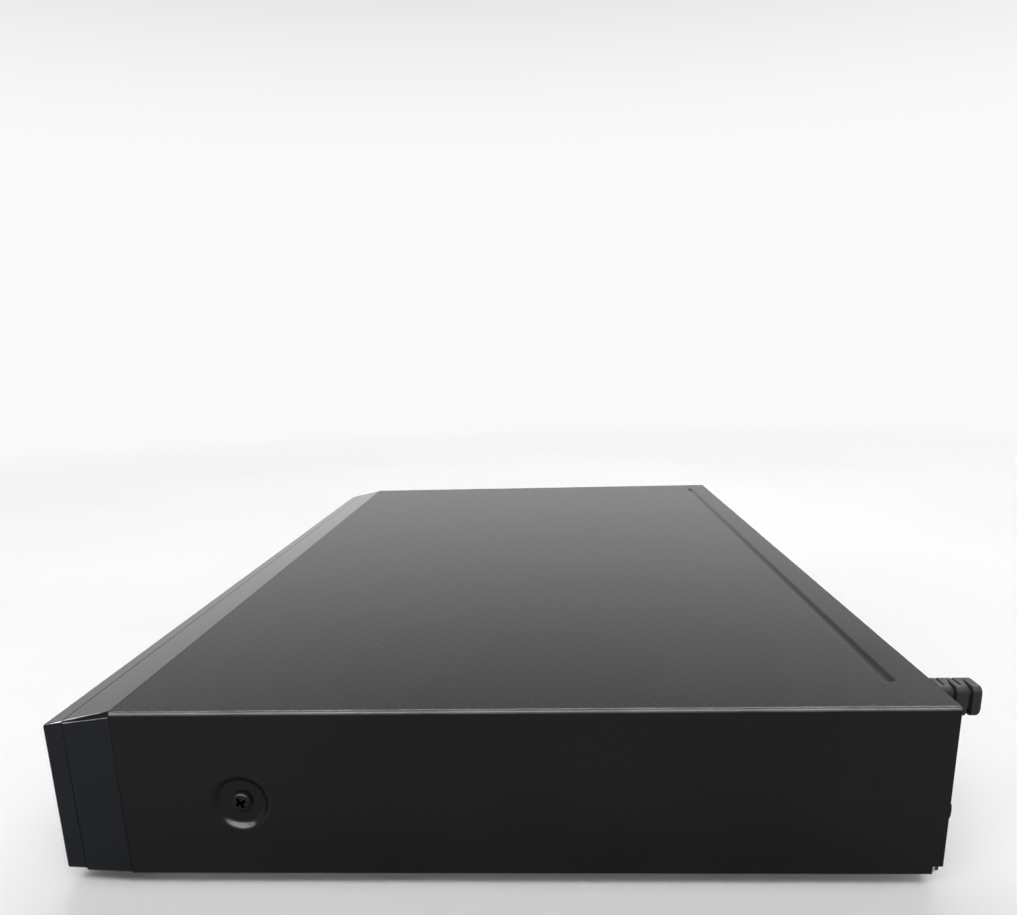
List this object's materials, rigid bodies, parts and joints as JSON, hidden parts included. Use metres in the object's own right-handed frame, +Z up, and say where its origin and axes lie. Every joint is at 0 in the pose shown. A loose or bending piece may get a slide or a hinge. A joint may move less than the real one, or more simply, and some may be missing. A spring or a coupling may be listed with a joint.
{
  "type": "blu-ray player",
  "caption": "Low full-width disc player: folded steel cover, gloss front panel, motor-driven disc tray with its pickup mechanism, rear sockets and a ribbed cord gland.",
  "frame": {"origin": "centre of the bounding box in plan, on the plane the feet stand on", "axes": "+X to the right as seen from the front, along the width; the front faces -Y; +Z up"},
  "size_m": [0.43, 0.2706, 0.056],
  "materials": {
    "satin_black_steel": "satin, fine grain",
    "zinc_steel": "satin",
    "black_steel": "satin",
    "gloss_black": "gloss",
    "smoked_window": "gloss",
    "rubber": "matte",
    "screw_steel": "satin",
    "gland_plastic": "matte",
    "board_green": "satin",
    "board_tan": "matte",
    "chip_black": "matte",
    "aluminium": "satin",
    "socket_metal": "satin",
    "socket_black": "satin",
    "winding_yellow": "satin",
    "capacitor_blue": "gloss",
    "display_glass": "gloss",
    "loader_black": "satin",
    "tray_black": "satin",
    "gear_white": "satin",
    "belt_rubber": "matte",
    "cable_grey": "satin",
    "cast_grey": "matte",
    "polished_steel": "polished",
    "lens": "clear",
    "dark_plastic": "satin"
  },
  "bodies": {
    "case": {"top_cover": "satin_black_steel", "base_pan": "zinc_steel", "rear_panel": "black_steel", "front_frame": "gloss_black", "front_fascia": "gloss_black", "display_window": "smoked_window", "rubber_feet": "rubber", "side_screws": "screw_steel", "rear_screws": "black_steel", "cord_gland": "gland_plastic", "main_board": "board_green", "board_chips": "chip_black", "heat_sink": "aluminium", "hdmi_socket": "socket_metal", "lan_socket": "socket_metal", "optical_socket": "socket_black", "audio_jacks": "socket_black", "board_screws": "screw_steel", "power_board": "board_tan", "transformer": "winding_yellow", "capacitors": "capacitor_blue", "power_heat_sink": "aluminium", "front_board": "board_green", "key_board": "board_green", "key_switches": "chip_black", "display_module": "display_glass", "usb_socket": "socket_metal", "loader_frame": "loader_black", "loader_screws": "screw_steel", "clamp_bridge": "zinc_steel", "loading_motor": "socket_metal", "drive_belt": "belt_rubber", "loader_ribbon": "cable_grey", "power_harness": "cable_grey"},
    "tray": {"disc_tray": "tray_black", "tray_front": "gloss_black"},
    "drive_gear": {"drive_gear": "gear_white"},
    "pulley_gear": {"pulley_gear": "gear_white"},
    "motor_pulley": {"motor_pulley": "gear_white"},
    "cam_slider": {"cam_slider": "gear_white"},
    "traverse": {"traverse_chassis": "cast_grey", "guide_rods": "polished_steel", "spindle_motor": "socket_metal", "feed_motor": "socket_metal"},
    "turntable": {"turntable": "dark_plastic"},
    "clamper": {"clamper": "dark_plastic", "clamp_yoke": "zinc_steel"},
    "pickup": {"optical_pickup": "cast_grey", "objective_lens": "lens"},
    "feed_screw": {"feed_screw": "polished_steel"},
    "usb_flap": {"usb_flap": "gloss_black"},
    "power_button": {"power_button": "gloss_black"},
    "open_button": {"open_button": "gloss_black"},
    "play_button": {"play_button": "gloss_black"},
    "stop_button": {"stop_button": "gloss_black"}
  },
  "joints": [
    {"name": "tray_slide", "type": "slide", "parent": "case", "child": "tray", "axis": [0, -1, 0], "range_m": [0, 0.138]},
    {"name": "drive_gear_spin", "type": "hinge", "parent": "case", "child": "drive_gear", "pos_m": [-0.042, -0.09325, 0.026], "axis": [0, 0, 1], "continuous": true},
    {"name": "pulley_gear_spin", "type": "hinge", "parent": "case", "child": "pulley_gear", "pos_m": [-0.025, -0.09325, 0.026], "axis": [0, 0, 1], "continuous": true},
    {"name": "motor_pulley_spin", "type": "hinge", "parent": "case", "child": "motor_pulley", "pos_m": [0.012, -0.09325, 0.023], "axis": [0, 0, 1], "continuous": true},
    {"name": "traverse_tilt", "type": "hinge", "parent": "case", "child": "traverse", "pos_m": [0, 0.03525, 0.0195], "axis": [1, 0, 0], "range_deg": [0, 3.6]},
    {"name": "cam_slide", "type": "slide", "parent": "case", "child": "cam_slider", "axis": [1, 0, 0], "range_m": [0, 0.012]},
    {"name": "turntable_spin", "type": "hinge", "parent": "traverse", "child": "turntable", "pos_m": [0, -0.05975, 0.032], "axis": [0, 0, 1], "continuous": true},
    {"name": "clamper_spin", "type": "hinge", "parent": "case", "child": "clamper", "pos_m": [0, -0.05975, 0.04], "axis": [0, 0, 1], "continuous": true},
    {"name": "pickup_slide", "type": "slide", "parent": "traverse", "child": "pickup", "axis": [0, 1, 0], "range_m": [0, 0.034]},
    {"name": "feed_screw_spin", "type": "hinge", "parent": "traverse", "child": "feed_screw", "pos_m": [0.031, -0.02475, 0.023], "axis": [0, 1, 0], "continuous": true},
    {"name": "usb_flap_hinge", "type": "hinge", "parent": "case", "child": "usb_flap", "pos_m": [-0.1177, -0.13395, 0.02735], "axis": [1, 0, 0], "range_deg": [0, 90]},
    {"name": "power_press", "type": "slide", "parent": "case", "child": "power_button", "axis": [0, 1, 0], "range_m": [0, 0.0005], "stiffness_N_per_m": 1500},
    {"name": "open_press", "type": "slide", "parent": "case", "child": "open_button", "axis": [0, 1, 0], "range_m": [0, 0.0005], "stiffness_N_per_m": 1500},
    {"name": "play_press", "type": "slide", "parent": "case", "child": "play_button", "axis": [0, 1, 0], "range_m": [0, 0.0005], "stiffness_N_per_m": 1500},
    {"name": "stop_press", "type": "slide", "parent": "case", "child": "stop_button", "axis": [0, 1, 0], "range_m": [0, 0.0005], "stiffness_N_per_m": 1500}
  ],
  "couplings": [
    {"joint": "drive_gear_spin", "follows": "tray_slide", "rad_per_m": 100},
    {"joint": "pulley_gear_spin", "follows": "tray_slide", "rad_per_m": -142.86},
    {"joint": "motor_pulley_spin", "follows": "tray_slide", "rad_per_m": -476.19},
    {"joint": "cam_slide", "follows": "traverse_tilt", "m_per_rad": 0.19098},
    {"joint": "feed_screw_spin", "follows": "pickup_slide", "rad_per_m": 1570.8}
  ]
}
